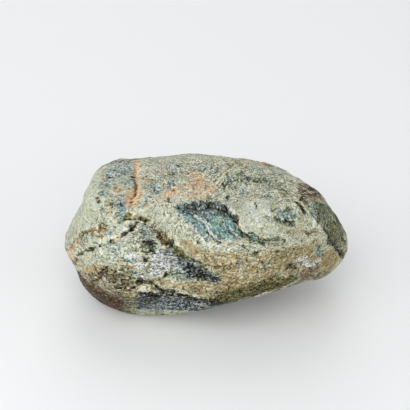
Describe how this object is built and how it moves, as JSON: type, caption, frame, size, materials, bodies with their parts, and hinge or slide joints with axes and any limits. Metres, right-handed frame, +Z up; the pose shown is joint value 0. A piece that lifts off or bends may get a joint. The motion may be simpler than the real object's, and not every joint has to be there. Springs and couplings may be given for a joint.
{
  "type": "raw jade boulder",
  "caption": "Raw, river-worn jade boulder with a weathered rind, stepped layers, cracks and hollows, that lies on its own flat foot as decor, display stone or rough material.",
  "frame": {"origin": "on the surface the stone lies on, under the middle of its box", "axes": "+X along the stone's length towards its lower, narrower end, +Y from the show face to the back, +Z up out of the surface it lies on"},
  "size_m": [0.2391, 0.1632, 0.1216],
  "materials": {
    "nephrite_rind": "dull weathered rind, pale grey green and ochre with dark green, blue grey and rust patches and a fine dark speckle"
  },
  "bodies": {
    "root": {"jade_boulder": "nephrite_rind"}
  },
  "joints": []
}
